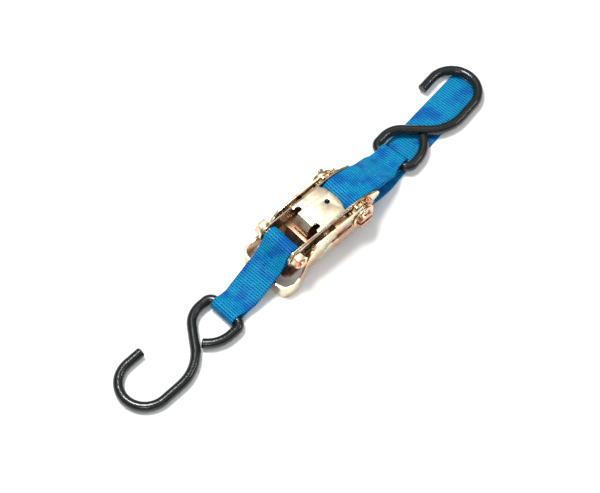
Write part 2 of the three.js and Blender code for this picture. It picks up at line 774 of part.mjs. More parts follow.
addPiece('anchor_bolt', anchorBolt(), zinc);
addPiece('anchor_nut', anchorNut(), zinc);
addPiece('anchor_washer', ringOnBolt(6, ...BOLT_WASHER_Y), zinc);
addPiece('anchor_sleeve', ringOnBolt(SLEEVE_RADIUS, GAP - FRAME_INNER, FRAME_INNER - GAP), zinc);

addPiece('mandrel_upper', mandrelHalf(1), wheelSteel);
addPiece('mandrel_lower', mandrelHalf(-1), wheelSteel);
addPiece('ratchet_wheel_far', ratchetWheel(), wheelSteel);
addPiece('ratchet_wheel_near', mirrored(ratchetWheel()), wheelSteel);
addPiece('axle_washer_far', axleWasher(), zinc);
addPiece('axle_washer_near', mirrored(axleWasher()), zinc);
addPiece('cotter_pin_far', cotterPin(), zinc);
addPiece('cotter_pin_near', mirrored(cotterPin()), zinc);
addPiece('strap_on_spool', woundStrap(), webbing);

addPiece('handle', handle(), zinc);
addPiece('release_pawl', releasePawl(), zinc);
addPiece('pawl_spring', coilSpring(HANDLE_STOP_X + 0.8, -28.8, 16, 2.4, 6), springSteel);

addPiece('fixed_strap', fixedStrap(), webbing);
addPiece('main_strap', mainStrap(), webbing);
addPiece('strap_tail', tailStrap(), webbing);

const fixedEnd = fixedPath(FIXED_BAR.x);
const mainEnd = mainPath(MAIN_BAR.x);
addHook('fixed_end_hook', { ...FIXED_BAR, y: fixedEnd.y }, fixedEnd.heading + Math.PI, true);
addHook('main_end_hook', { ...MAIN_BAR, y: mainEnd.y }, mainEnd.heading, false);

const extent = new THREE.Box3().setFromObject(tieDown, true);
tieDown.position.set(
  -(extent.min.x + extent.max.x) / 2,
  -(extent.min.y + extent.max.y) / 2,
  -extent.min.z,
);
tieDown.updateMatrixWorld(true);

export default tieDown;
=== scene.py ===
"""Looks of the ratchet tie down: webbing, stitching, dipped hooks, springs and plated steel.

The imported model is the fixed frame. Lengths in this file are in millimetres from the
spool's axis, the middle of the buckle and the ground, and turn to metres at the mesh.
"""

import math

import bpy
import numpy as np
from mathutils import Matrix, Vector


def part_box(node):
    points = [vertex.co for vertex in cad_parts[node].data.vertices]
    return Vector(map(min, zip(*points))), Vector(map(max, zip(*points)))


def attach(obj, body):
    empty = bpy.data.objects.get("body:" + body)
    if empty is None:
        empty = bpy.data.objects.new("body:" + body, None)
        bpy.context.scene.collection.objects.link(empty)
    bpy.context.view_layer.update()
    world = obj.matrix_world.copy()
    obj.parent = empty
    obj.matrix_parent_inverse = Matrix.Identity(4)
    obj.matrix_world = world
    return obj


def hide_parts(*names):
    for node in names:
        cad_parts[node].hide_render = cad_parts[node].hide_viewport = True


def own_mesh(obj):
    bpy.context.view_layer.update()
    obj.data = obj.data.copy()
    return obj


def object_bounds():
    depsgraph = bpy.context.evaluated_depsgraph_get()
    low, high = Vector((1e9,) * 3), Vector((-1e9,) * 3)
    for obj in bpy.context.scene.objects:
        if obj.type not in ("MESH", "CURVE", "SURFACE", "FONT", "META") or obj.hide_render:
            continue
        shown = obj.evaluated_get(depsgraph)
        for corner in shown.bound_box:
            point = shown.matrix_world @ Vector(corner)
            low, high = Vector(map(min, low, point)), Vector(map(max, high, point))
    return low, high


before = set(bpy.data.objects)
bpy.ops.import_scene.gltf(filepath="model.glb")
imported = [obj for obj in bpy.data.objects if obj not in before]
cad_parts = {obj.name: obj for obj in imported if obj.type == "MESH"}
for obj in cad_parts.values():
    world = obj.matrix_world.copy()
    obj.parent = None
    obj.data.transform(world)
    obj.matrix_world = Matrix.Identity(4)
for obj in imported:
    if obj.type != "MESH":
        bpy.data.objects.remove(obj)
CAD_BOX = [list(corner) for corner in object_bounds()]

# ------------------------------------------------------------------ sizes and places
GAP = 0.3  # between solids that meet
WRAP_GAP = 0.35  # between a hook's rod and the webbing round it
AXLE_Z = 21.5
BOLT = (-56.5, 27.0)  # the anchor bolt, as (x, z)
SLEEVE_RADIUS = 4.5

WEB = 1.4  # thickness the model gives a layer of webbing
LAYER = WEB / 2  # each layer's middle, from the middle of a doubled strap
THICK = 1.3  # thickness drawn, just inside the model's
TAIL_THICK = 1.36
ROLL_THICK = 1.05
FIXED_WIDTH = 23.0
MAIN_WIDTH = 25.0
ROLL_WIDTH = MAIN_WIDTH - 0.6  # a little narrower, to clear the wheels
EYE_WEB = 20.5  # webbing's width where it is drawn in round a hook's bar
NECK_HALF = 5  # how far each side of the bar it stays that narrow
NECK_EASE = 12  # the length over which it widens again

WIRE_RADIUS = 3.5
EYE_HALF = 10
EYE_BEND = 5
HOOK_REACH = 90.5
HOOK_RUNS = [
    (12.5, 0), (18, -180), (14, 0), (31, -54), (16.5, 0), (17, 54), (5, 0),
    (EYE_BEND, 90), (2 * EYE_HALF, 0), (EYE_BEND, 90), (5, 0), (22, 54),
]  # (length, 0) for a straight, (radius, degrees) for a bend
BAR_RUN = 8  # which of the runs is the eye's bar
TIP_ROUND = 0.8  # rounding of the rod's cut ends
LOOP_RADIUS = WIRE_RADIUS + WRAP_GAP + WEB
FIXED_BAR = (-109.3, LOOP_RADIUS)  # each eye's bar, as (x, z)
MAIN_BAR = (54.3, LOOP_RADIUS + WEB + GAP)
HOOK_LEAN = math.asin((LOOP_RADIUS - WIRE_RADIUS) / HOOK_REACH)

# Side views of the webbing, as (x, z). A seam is the middle of a doubled, sewn stretch.
FIXED_SEAM = [(-66, 20.6), (-71.5, 15.4), (-75.5, 14.2), (-81, 11.6), (-92, 7.2), (-98, 6)]
MAIN_SEAM = [(20, 26.1), (27, 22.6), (36, 16.8), (42.5, 12.4)]
MAIN_RUN = [(2.87, 32.12), (7.5, 30.9), (13, 29.2)]  # from the spool to the seam
TAIL_FALL = [(12, 10.3), (20, 8.6), (28, 5.2), (35, 2.2), (41, 0.8), (46, 0.7)]
TAIL_FLAT = (56, 0.7)  # the first of the even points along the ground
TAIL_STEPS = 6
TAIL_END = 141.5

ROLL_RADIUS = 10.0  # the model's wound strap
LEAVE = ROLL_RADIUS + GAP + LAYER  # radius of the webbing as it leaves the spool
ARM_START = 7.05  # radius of each wound arm at the mandrel
ARM_GROWTH = 2.3
ARM_DEGREES = 405
SLOT_HALF = 6.2  # half the stretch that runs through the mandrel's slot

STITCH_PITCH = 2.6
STITCH_LONG = 0.74  # a stitch's length, as a share of the pitch
STITCH_ROOM = 0.8  # share of the pitch that has to be left for one more stitch
STITCH_RADIUS = 0.22
STITCH_MARGIN = 2.1  # from the webbing's edges to the outer rows
STITCH_ROWS = 5
STITCH_SINK = 0.9  # how deep a stitch's ends go into the webbing, in radii
STITCH_SHAPE = [(0.0, 0.35), (0.12, 0.85), (0.5, 1.12), (0.88, 0.85), (1.0, 0.35)]  # (along, girth)

ACROSS = 22  # mesh columns across the webbing
EDGE = 4  # mesh columns round each selvedge

_low, _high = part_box("strap_on_spool")
ORIGIN = Vector((_low + _high) / 2) * 1000 - Vector((0, 0, AXLE_Z))


def metres(points):
    """Points in millimetres from the spool's axis, in metres in the row frame."""
    return (np.asarray(points, float) + np.array(ORIGIN)) / 1000


# ------------------------------------------------------------------ camera
LOOK = (math.radians(-43.5), math.radians(60))  # azimuth and elevation
LOOKED_AT = (-34.5, 5.3, 0)
DISTANCE = 1275.0
DROP = 4.42  # the camera's shift along its own down direction
LENS = 112.5
SENSOR = 36


def make_camera():
    """The photo's view."""
    azimuth, elevation = LOOK
    back = Vector((
        math.sin(azimuth) * math.cos(elevation),
        -math.cos(azimuth) * math.cos(elevation),
        math.sin(elevation),
    ))
    right = Vector((math.cos(azimuth), math.sin(azimuth), 0))
    up = back.cross(right)
    data = bpy.data.cameras.new("camera")
    data.lens, data.sensor_width = LENS, SENSOR
    data.clip_start, data.clip_end = 0.05, 20
    camera = bpy.data.objects.new("camera", data)
    place = Vector(LOOKED_AT) + back * DISTANCE - up * DROP
    camera.location = metres(place)
    camera.rotation_mode = "QUATERNION"
    camera.rotation_quaternion = (-back).to_track_quat("-Z", "Y")
    bpy.context.collection.objects.link(camera)
    bpy.context.scene.camera = camera


make_camera()


# ------------------------------------------------------------------ mesh helpers
def new_piece(name, points, faces, uvs=None):
    """A mesh object from points in millimetres. uvs gives one (u, v) per face corner."""
    mesh = bpy.data.meshes.new(name)
    mesh.from_pydata([tuple(p) for p in metres(points)], [], faces)
    if uvs is not None:
        layer = mesh.uv_layers.new(name="strap")
        layer.data.foreach_set("uv", np.asarray(uvs, np.float32).ravel())
    mesh.polygons.foreach_set("use_smooth", [True] * len(mesh.polygons))
    mesh.update()
    piece = bpy.data.objects.new(name, mesh)
    bpy.context.collection.objects.link(piece)
    return piece


def catmull(points, count):
    """Points along the same curve as the model's spline."""
    knots = [np.array(p, float) for p in points]
    last = len(knots) - 1
    out = []
    for i in range(count + 1):
        t = i / count * last
        k = min(int(t), last - 1)
        f = t - k
        p0, p1 = knots[max(k - 1, 0)], knots[k]
        p2, p3 = knots[k + 1], knots[min(k + 2, last)]
        v0, v1 = (p2 - p0) / 2, (p3 - p1) / 2
        out.append(
            (2 * p1 - 2 * p2 + v0 + v1) * f**3
            + (-3 * p1 + 3 * p2 - 2 * v0 - v1) * f**2 + v0 * f + p1
        )
    return np.array(out)


def arc(centre, radius, start, end, step=6):
    """Points on an arc, in degrees, from start to end either way round."""
    count = max(2, int(abs(end - start) / step))
    angles = np.radians(np.linspace(start, end, count + 1))
    return np.array([
        (centre[0] + radius * math.cos(a), centre[1] + radius * math.sin(a)) for a in angles
    ])


def offset(path, distance):
    """The path moved to its left by distance."""
    tangent = np.gradient(path, axis=0)
    tangent /= np.linalg.norm(tangent, axis=1)[:, None]
    return path + distance * np.stack([-tangent[:, 1], tangent[:, 0]], 1)


EASINGS = 3


def even(path, step=0.7, closed=False):
    """The path at even spacing, eased a little where its pieces meet."""
    points = np.vstack([path, path[:1]]) if closed else path
    length = np.r_[0, np.cumsum(np.linalg.norm(np.diff(points, axis=0), axis=1))]
    keep = np.r_[True, np.diff(length) > 1e-6]
    points, length = points[keep], length[keep]
    count = max(4, int(length[-1] / step))
    at = np.linspace(0, length[-1], count + 1)
    out = np.stack([np.interp(at, length, points[:, k]) for k in (0, 1)], 1)
    for _ in range(EASINGS):
        if closed:
            ring = out[:-1]
            ring = (np.roll(ring, 1, 0) + 2 * ring + np.roll(ring, -1, 0)) / 4
            out = np.vstack([ring, ring[:1]])
        else:
            out[1:-1] = (out[:-2] + 2 * out[1:-1] + out[2:]) / 4
    return out[:-1] if closed else out


# ------------------------------------------------------------------ plan views of the webbing
def wander(x, way, bends):
    """How far a strap has wandered sideways at x, and its heading, after (start, ramp, slope) bends."""
    y = pitch = 0.0
    for start, ramp, slope in bends:
        run = max(0.0, (x - start) * way)
        y += slope * (run * run / (2 * ramp) if run < ramp else run - ramp / 2)
        pitch += slope * min(1, run / ramp)
    return y, math.atan(pitch) * way


AWAY = (19, 8, 0.215)  # the bend that both lengths of the main strap make past the spool


def main_plan(x):
    return wander(x, 1, [AWAY, (46, 8, -0.065)])


def tail_plan(x):
    return wander(x, 1, [AWAY, (46, 8, -0.095)])


def fixed_plan(x):
    return wander(x, -1, [(BOLT[0] - 6, 16, -0.085), (-95, 8, 0.06)])


def drawn_in(width, bar_x):
    """The share of its width that the webbing has at x, narrow where it goes round the bar."""
    narrow = EYE_WEB / width

    def share(x):
        t = min(1, max(0, (abs(x - bar_x) - NECK_HALF) / NECK_EASE))
        return narrow + (1 - narrow) * t * t * (3 - 2 * t)

    return share


# ------------------------------------------------------------------ webbing and stitch meshes
def section(half, thick):
    """Cross-section of webbing: (across, out, distance round it), with rounded selvedges."""
    r = thick / 2
    top = [(half - r) * (1 - 2 * i / ACROSS) for i in range(ACROSS + 1)]
    points = [(w, r) for w in reversed(top)]
    points += [(half - r + r * math.cos(a), r * math.sin(a))
               for a in np.linspace(math.pi / 2, -math.pi / 2, EDGE + 2)[1:-1]]
    points += [(w, -r) for w in top]
    points += [(r - half - r * math.cos(a), r * math.sin(a))
               for a in np.linspace(-math.pi / 2, math.pi / 2, EDGE + 2)[1:-1]]
    ring = np.array(points)
    step = np.linalg.norm(np.roll(ring, -1, 0) - ring, axis=1)
    return ring, np.r_[0, np.cumsum(step)]


def surface_point(path, i, w, out, plan, share):
    """Where the webbing's surface is: w across, out from its middle, at path point i."""
    tangent = path[min(i + 1, len(path) - 1)] - path[max(i - 1, 0)]
    tangent /= np.linalg.norm(tangent)
    normal = np.array([-tangent[1], tangent[0]])
    x, z = path[i] + normal * out
    y, heading = plan(path[i][0])
    across = w * share(path[i][0])
    return (x - across * math.sin(heading), y + across * math.cos(heading), z)


def ribbon(name, path, width, thick, plan, share=lambda x: 1, closed=False):
    """A length of webbing along a side-view path, drifting sideways as plan says."""
    ring, round_it = section(width / 2, thick)
    n, m = len(path), len(ring)
    looped = np.vstack([path[-1:], path, path[:1]]) if closed else None
    points = []
    for i in range(n):
        line, at = (looped, i + 1) if closed else (path, i)
        for w, out in ring:
            points.append(surface_point(line, at, w, out, plan, share))
    steps = np.linalg.norm(np.diff(np.vstack([path, path[:1]]), axis=0), axis=1)
    along = np.r_[0, np.cumsum(steps)]
    faces, uvs = [], []
    for i in range(n if closed else n - 1):
        k = (i + 1) % n
        for j in range(m):
            q = (j + 1) % m
            faces.append((i * m + j, k * m + j, k * m + q, i * m + q))
            uvs += [(along[i], round_it[j]), (along[i + 1], round_it[j]),
                    (along[i + 1], round_it[j + 1]), (along[i], round_it[j + 1])]
    if not closed:
        for end, order in ((0, range(m)), (n - 1, reversed(range(m)))):
            order = list(order)
            faces.append(tuple(end * m + j for j in order))
            uvs += [(along[end] + ring[j][1], ring[j][0]) for j in order]
    piece = new_piece(name, points, faces, uvs)
    return piece, float(along[n] if closed else along[n - 1])


def capsule(start, end, radius, outward, sides=6):
    """Points and faces of one stitch, a rounded thread from start to end."""
    start, end = Vector(start), Vector(end)
    along = (end - start).normalized()
    side = along.cross(Vector(outward)).normalized()
    lift = side.cross(along)
    points, faces = [], []
    for t, scale in STITCH_SHAPE:
        centre = start.lerp(end, t) - lift * radius * STITCH_SINK * (1 - math.sin(math.pi * t))
        for k in range(sides):
            a = 2 * math.pi * k / sides
            points.append(centre + (side * math.cos(a) + lift * math.sin(a)) * radius * scale)
    last = len(STITCH_SHAPE) - 1
    for r in range(last):
        for k in range(sides):
            q = (k + 1) % sides
            faces.append((r * sides + k, (r + 1) * sides + k, (r + 1) * sides + q, r * sides + q))
    faces.append(tuple(range(sides)))
    faces.append(tuple(last * sides + k for k in reversed(range(sides))))
    return points, faces


def stitching(name, path, first, last, surface, plan, share, width):
    """Rows of stitches on one face of the webbing, between two path points."""
    all_points, all_faces = [], []
    length = np.r_[0, np.cumsum(np.linalg.norm(np.diff(path, axis=0), axis=1))]

    def at(s, w, out=surface):
        i = int(np.clip(np.searchsorted(length, s), 1, len(path) - 2))
        return np.array(surface_point(path, i, w, out, plan, share))

    for r in range(STITCH_ROWS):
        w = (r / (STITCH_ROWS - 1) - 0.5) * (width - 2 * STITCH_MARGIN)
        s = length[first] + (STITCH_PITCH / 2 if r % 2 else 0)
        while s + STITCH_PITCH * STITCH_ROOM < length[last]:
            start, end = at(s, w), at(s + STITCH_PITCH * STITCH_LONG, w)
            points, faces = capsule(start, end, STITCH_RADIUS, start - at(s, w, 0))
            base = len(all_points)
            all_points += [tuple(p) for p in points]
            all_faces += [tuple(base + k for k in f) for f in faces]
            s += STITCH_PITCH
    return new_piece(name, all_points, all_faces)


# ------------------------------------------------------------------ materials
def material(name):
    """A new material, its shader, a function that adds a node with its inputs set, and its links."""
    made = bpy.data.materials.new(name)
    made.use_nodes = True
    nodes, links = made.node_tree.nodes, made.node_tree.links
    shader = nodes["Principled BSDF"]

    def add(kind, inputs=(), **settings):
        node = nodes.new(kind)
        for key, value in settings.items():
            setattr(node, key, value)
        for key, value in dict(inputs).items():
            if isinstance(value, bpy.types.NodeSocket):
                links.new(value, node.inputs[key])
            else:
                node.inputs[key].default_value = value
        return node

    return made, shader, add, links


def ramp(add, factor, stops):
    """The colour at factor between (place, colour) stops."""
    node = add("ShaderNodeValToRGB", {"Fac": factor})
    elements = node.color_ramp.elements
    while len(elements) < len(stops):
        elements.new(0.5)
    for element, (place, colour) in zip(elements, stops):
        element.position = place
        element.color = (*colour, 1)
    return node.outputs["Color"]


def plated_steel(name, pale, warm, dark, rough=0.22):
    """Yellow zinc plate: pale gold that drifts to pink and olive, with faint handling marks."""
    made, shader, add, links = material(name)
    place = add("ShaderNodeTexCoord").outputs["Object"]
    cloud = add("ShaderNodeTexNoise", {"Vector": place, "Scale": 48, "Detail": 3, "Roughness": 0.5})
    tint = ramp(add, cloud.outputs["Fac"], [
        (0.3, dark), (0.4, pale), (0.5, pale), (0.6, warm), (0.7, pale),
    ])
    bloom = add("ShaderNodeTexNoise", {"Vector": place, "Scale": 170, "Detail": 3})
    iris = ramp(add, bloom.outputs["Fac"], [
        (0.34, (1.0, 0.6, 0.42)), (0.46, (1, 0.95, 0.84)),
        (0.58, (1, 1, 0.92)), (0.7, (0.84, 0.9, 0.6)),
    ])
    colour = add("ShaderNodeMixRGB", {"Fac": 0.45, "Color1": tint, "Color2": iris},
                 blend_type="MULTIPLY")
    links.new(colour.outputs["Color"], shader.inputs["Base Color"])
    marks = add("ShaderNodeTexNoise", {"Vector": place, "Scale": 420, "Detail": 4})
    roughness = add("ShaderNodeMapRange", {
        "Value": marks.outputs["Fac"], "From Min": 0.3, "From Max": 0.7,
        "To Min": rough - 0.05, "To Max": rough + 0.08,
    })
    links.new(roughness.outputs["Result"], shader.inputs["Roughness"])
    ripple = add("ShaderNodeTexNoise", {"Vector": place, "Scale": 95, "Detail": 2})
    bump = add("ShaderNodeBump", {"Height": ripple.outputs["Fac"], "Strength": 0.3, "Distance": 0.0002})
    links.new(bump.outputs["Normal"], shader.inputs["Normal"])
    shader.inputs["Metallic"].default_value = 1.0
    shader.inputs["Coat Weight"].default_value = 0.2
    shader.inputs["Coat Roughness"].default_value = 0.08
    return made


def woven(name, deep, mid, light, pitch=1.85, column=1.5):
    """Woven polyester: cross ribs, staggered warp yarns and bright flecks, with painted shade in the
    grooves and in broad patches. Pitches are in millimetres.
    """
    made, shader, add, links = material(name)
    uv = add("ShaderNodeUVMap", uv_map="strap").outputs["UV"]
    split = add("ShaderNodeSeparateXYZ", {"Vector": uv})

    def math_node(operation, a, b=None):
        inputs = {0: a} if b is None else {0: a, 1: b}
        return add("ShaderNodeMath", inputs, operation=operation).outputs["Value"]

    def wave(value):
        turn = math_node("MULTIPLY", value, math.pi)
        return math_node("ABSOLUTE", math_node("SINE", turn))

    wobble = add("ShaderNodeTexNoise", {"Vector": uv, "Scale": 0.35, "Detail": 2}).outputs["Fac"]
    along = math_node("ADD", math_node("MULTIPLY", split.outputs["X"], 1 / pitch),
                      math_node("MULTIPLY", wobble, 0.35))
    across = math_node("MULTIPLY", split.outputs["Y"], 1 / column)
    row = math_node("MULTIPLY", math_node("FLOOR", across), 0.5)
    rib = wave(along)
    yarn = wave(math_node("ADD", along, row))
    columns = wave(across)
    fine = math_node("ADD", math_node("MULTIPLY", yarn, 0.3), math_node("MULTIPLY", columns, 0.2))
    weave = math_node("ADD", math_node("MULTIPLY", rib, 0.5), fine)
    fibres = add("ShaderNodeTexNoise", {
        "Vector": add("ShaderNodeMapping", {"Vector": uv, "Scale": (1.4, 9, 1)}).outputs["Vector"],
        "Scale": 1.6, "Detail": 4,
    }).outputs["Fac"]
    level = math_node("ADD", math_node("MULTIPLY", weave, 0.8), math_node("MULTIPLY", fibres, 0.28))
    # Colour follows the weave's height: the rib and yarn pattern, darkened in the grooves as painted
    # shade.
    shade = ramp(add, level, [(0.38, deep), (0.58, mid), (0.8, light)])
    cells = add("ShaderNodeTexVoronoi", {"Vector": uv, "Scale": 0.85, "Randomness": 1.0})
    fleck = ramp(add, cells.outputs["Distance"], [(0.08, (1, 1, 1)), (0.3, (0, 0, 0))])
    sparkle = math_node("MULTIPLY", fleck, math_node("GREATER_THAN", wobble, 0.5))
    flecked = add("ShaderNodeMixRGB", {
        "Fac": math_node("MULTIPLY", sparkle, 0.8), "Color1": shade, "Color2": (0.05, 0.5, 0.8, 1),
    })
    # Broad patches of painted shade: the webbing darkened to deep blue at random places.
    painted_shade_noise = add("ShaderNodeTexNoise", {"Vector": uv, "Scale": 0.07, "Detail": 2}).outputs["Fac"]
    painted_shade_patches = ramp(add, painted_shade_noise, [(0.36, (0.35, 0.5, 0.85)), (0.52, (1, 1, 1))])
    colour = add("ShaderNodeMixRGB", {"Fac": 1.0, "Color1": flecked.outputs["Color"], "Color2": painted_shade_patches},
                 blend_type="MULTIPLY")
    links.new(colour.outputs["Color"], shader.inputs["Base Color"])
    bump = add("ShaderNodeBump", {"Height": level, "Strength": 0.75, "Distance": 0.00022})
    links.new(bump.outputs["Normal"], shader.inputs["Normal"])
    shader.inputs["Roughness"].default_value = 0.62
    shader.inputs["Specular IOR Level"].default_value = 0.12
    return made


def dipped_vinyl(name):
    """Black vinyl dip: glossy, with a soft orange-peel surface and faint grey scuffs."""
    made, shader, add, links = material(name)
    place = add("ShaderNodeTexCoord").outputs["Object"]
    peel = add("ShaderNodeTexNoise", {"Vector": place, "Scale": 260, "Detail": 2})
    fine = add("ShaderNodeTexNoise", {"Vector": place, "Scale": 1200, "Detail": 3})
    scuff = ramp(add, fine.outputs["Fac"], [
        (0.42, (0.003, 0.005, 0.0045)), (0.62, (0.008, 0.011, 0.01)), (0.78, (0.02, 0.024, 0.023)),
    ])
    links.new(scuff, shader.inputs["Base Color"])
    roughness = add("ShaderNodeMapRange", {
        "Value": peel.outputs["Fac"], "From Min": 0.3, "From Max": 0.7, "To Min": 0.1, "To Max": 0.19,
    })
    links.new(roughness.outputs["Result"], shader.inputs["Roughness"])
    height = add("ShaderNodeMath", {0: peel.outputs["Fac"], 1: fine.outputs["Fac"]}, operation="ADD")
    bump = add("ShaderNodeBump", {"Height": height.outputs["Value"], "Strength": 0.3, "Distance": 0.00025})
    links.new(bump.outputs["Normal"], shader.inputs["Normal"])
    shader.inputs["Specular IOR Level"].default_value = 0.5
    return made


def thread(name):
    """Sewing thread, a little darker than the webbing, with its twist."""
    made, shader, add, links = material(name)
    place = add("ShaderNodeTexCoord").outputs["Object"]
    twist = add("ShaderNodeTexNoise", {"Vector": place, "Scale": 2600, "Detail": 2})
    links.new(ramp(add, twist.outputs["Fac"], [(0.35, (0.0, 0.07, 0.22)), (0.65, (0.0, 0.18, 0.4))]),
              shader.inputs["Base Color"])
    bump = add("ShaderNodeBump", {"Height": twist.outputs["Fac"], "Strength": 0.5, "Distance": 0.0001})
    links.new(bump.outputs["Normal"], shader.inputs["Normal"])
    shader.inputs["Roughness"].default_value = 0.5
    shader.inputs["Specular IOR Level"].default_value = 0.2
    return made


GOLD = plated_steel("yellow_zinc", (0.76, 0.68, 0.52), (0.76, 0.42, 0.26), (0.4, 0.24, 0.14))
WHEEL = plated_steel("wheel_zinc", (0.6, 0.42, 0.25), (0.5, 0.26, 0.17), (0.2, 0.11, 0.07), 0.28)
# Lock plate and release pawl: the same yellow zinc darkened to deep brown, painted shade for parts that
# sit in shadow inside the frame.
SHADED_PAWL_ZINC = plated_steel("pawl_zinc_painted_shade", (0.34, 0.2, 0.14), (0.3, 0.14, 0.1), (0.16, 0.09, 0.06), 0.3)
WIRE = plated_steel("spring_wire", (0.62, 0.6, 0.56), (0.55, 0.48, 0.4), (0.32, 0.28, 0.25), 0.24)
BLUE = woven("azure_webbing", (0.0, 0.012, 0.08), (0.0, 0.1, 0.27), (0.0, 0.31, 0.56))
VINYL = dipped_vinyl("black_vinyl")
THREAD = thread("blue_thread")


# ------------------------------------------------------------------ steel
WELD_DISTANCE = 2e-6  # metres
FLAT_ANGLE = math.radians(0.6)  # faces that differ by less are one face
HARD_ANGLE = math.radians(32)  # edges sharper than this keep a hard line
BEVEL_ANGLE = math.radians(34)  # edges sharper than this are rounded


def rounded_group():
    """Smooth shading that keeps the hard edges."""
    group = bpy.data.node_groups.new("smooth_by_angle", "GeometryNodeTree")
    group.interface.new_socket("Geometry", in_out="INPUT", socket_type="NodeSocketGeometry")
    group.interface.new_socket("Geometry", in_out="OUTPUT", socket_type="NodeSocketGeometry")
    nodes, links = group.nodes, group.links
    start, end = nodes.new("NodeGroupInput"), nodes.new("NodeGroupOutput")
    drop = nodes.new("GeometryNodeRemoveAttribute")
    drop.inputs["Name"].default_value = "custom_normal"
    faces = nodes.new("GeometryNodeSetShadeSmooth")
    edges = nodes.new("GeometryNodeSetShadeSmooth")
    edges.domain = "EDGE"
    edges.inputs["Shade Smooth"].default_value = False
    angle = nodes.new("GeometryNodeInputMeshEdgeAngle")
    above = nodes.new("FunctionNodeCompare")
    above.inputs[1].default_value = HARD_ANGLE
    links.new(start.outputs[0], drop.inputs["Geometry"])
    links.new(drop.outputs["Geometry"], faces.inputs["Geometry"])
    links.new(faces.outputs["Geometry"], edges.inputs["Geometry"])
    links.new(angle.outputs["Unsigned Angle"], above.inputs[0])
    links.new(above.outputs["Result"], edges.inputs["Selection"])
    links.new(edges.outputs["Geometry"], end.inputs[0])
    return group


SMOOTH = rounded_group()


def finish_steel(name, surface, edge_mm):
    """Gives a CAD node its plating and the soft, rounded edges of pressed steel."""
    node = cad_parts[name]
    node.data.materials.clear()
    node.data.materials.append(surface)
    weld = node.modifiers.new("weld", "WELD")
    weld.merge_threshold = WELD_DISTANCE
    flat = node.modifiers.new("flat", "DECIMATE")
    flat.decimate_type, flat.angle_limit = "DISSOLVE", FLAT_ANGLE
    bevel = node.modifiers.new("edge", "BEVEL")
    bevel.width, bevel.segments = edge_mm / 1000, 3
    bevel.limit_method, bevel.angle_limit = "ANGLE", BEVEL_ANGLE
    smooth = node.modifiers.new("smooth", "NODES")
    smooth.node_group = SMOOTH


# How far each CAD node's edges are rounded, in millimetres, under each plating.
STEEL = {
    GOLD: {
        "frame": 0.32, "handle": 0.32,
        "anchor_bolt": 0.4, "anchor_nut": 0.4, "anchor_washer": 0.2, "anchor_sleeve": 0.2,
        "axle_washer_far": 0.18, "axle_washer_near": 0.18,
        "cotter_pin_far": 0.05, "cotter_pin_near": 0.05,
    },
    # The darkened zinc, painted shade, for the lock plate and release pawl.
    SHADED_PAWL_ZINC: {"lock_plate": 0.3, "release_pawl": 0.35},
    WHEEL: {
        "ratchet_wheel_far": 0.16, "ratchet_wheel_near": 0.16,
        "mandrel_upper": 0.2, "mandrel_lower": 0.2,
    },
}
for surface, edges in STEEL.items():
    for node_name, edge in edges.items():
        finish_steel(node_name, surface, edge)


# ------------------------------------------------------------------ springs
SPRING_WIRE = 0.45
END_CLOSING = 0.7  # the turns are closer at the ends by this over their number


def spring(name, x0, x1, z, radius, turns):
    """A coil along X, its turns a little closer together towards the ends."""
    steps, sides = 30 * turns, 12
    points, faces = [], []
    for i in range(steps + 1):
        t = i / steps
        eased = t - END_CLOSING / turns * math.sin(2 * math.pi * t) / (2 * math.pi)
        a = 2 * math.pi * turns * t
        centre = Vector((x0 + (x1 - x0) * eased, radius * math.sin(a), z + radius * math.cos(a)))
        out = Vector((0, math.sin(a), math.cos(a)))
        for k in range(sides):
            b = 2 * math.pi * k / sides
            points.append(centre + (out * math.cos(b) + Vector((1, 0, 0)) * math.sin(b)) * SPRING_WIRE)
    for i in range(steps):
        for k in range(sides):
            q = (k + 1) % sides
            faces.append((i * sides + k, i * sides + q, (i + 1) * sides + q, (i + 1) * sides + k))
    faces += [tuple(reversed(range(sides))), tuple(steps * sides + k for k in range(sides))]
    piece = new_piece(name, points, faces)
    piece.data.materials.append(WIRE)
    return piece


def add_spring(name, node, body, x0, x1, z, radius, turns):
    """A spring that stays on its body."""
    piece = spring(name, x0, x1, z, radius, turns)
    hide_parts(node)
    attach(piece, body)
    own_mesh(piece)


add_spring("lock_plate_spring", "lock_spring", "frame",
           x0=-37.3, x1=-28.3, z=27.5, radius=1.8, turns=6)
add_spring("release_spring", "pawl_spring", "handle",
           x0=-40.2, x1=-28.8, z=16, radius=2.4, turns=7)


# ------------------------------------------------------------------ S-hooks
def hook_line(step=0.8):
    """Centre line of the bent rod, its eye's bar centred on the origin along Y."""
    lengths = [a if not turn else a * abs(math.radians(turn)) for a, turn in HOOK_RUNS]

    def walk(distance, x=0.0, y=0.0, heading=0.0):
        for (size, turn), length in zip(HOOK_RUNS, lengths):
            part = min(distance, length)
            if turn == 0:
                x, y = x + part * math.cos(heading), y + part * math.sin(heading)
            else:
                side = math.copysign(1, turn)
                after = heading + side * part / size
                x += side * size * (math.sin(after) - math.sin(heading))
                y -= side * size * (math.cos(after) - math.cos(heading))
                heading = after
            distance -= part
            if distance <= 0:
                break
        return x, y, heading

    total = sum(lengths)
    bar = sum(lengths[:BAR_RUN]) + lengths[BAR_RUN] / 2
    bar_x, bar_y, _ = walk(bar)
    count = int(total / step)
    line = [walk(total * i / count) for i in range(count + 1)]
    return [(x - bar_x, y - bar_y, heading) for x, y, heading in line]


def rod_stations(line):
    """(x, y, heading, radius) along the rod, with softly rounded ends."""
    stations = [(x, y, h, WIRE_RADIUS) for x, y, h in line]
    for end, way in ((0, 1), (-1, -1)):
        x, y, h = line[end]
        caps = []
        for t in (0.0, 0.25, 0.5, 0.75, 1.0):
            a = t * math.pi / 2
            back = TIP_ROUND * (1 - math.sin(a)) * way
            caps.append((x + back * math.cos(h), y + back * math.sin(h), h,
                         WIRE_RADIUS - TIP_ROUND + TIP_ROUND * math.cos(a)))
        if way == 1:
            stations[:2] = list(reversed(caps))
        else:
            stations[-2:] = caps
    return stations


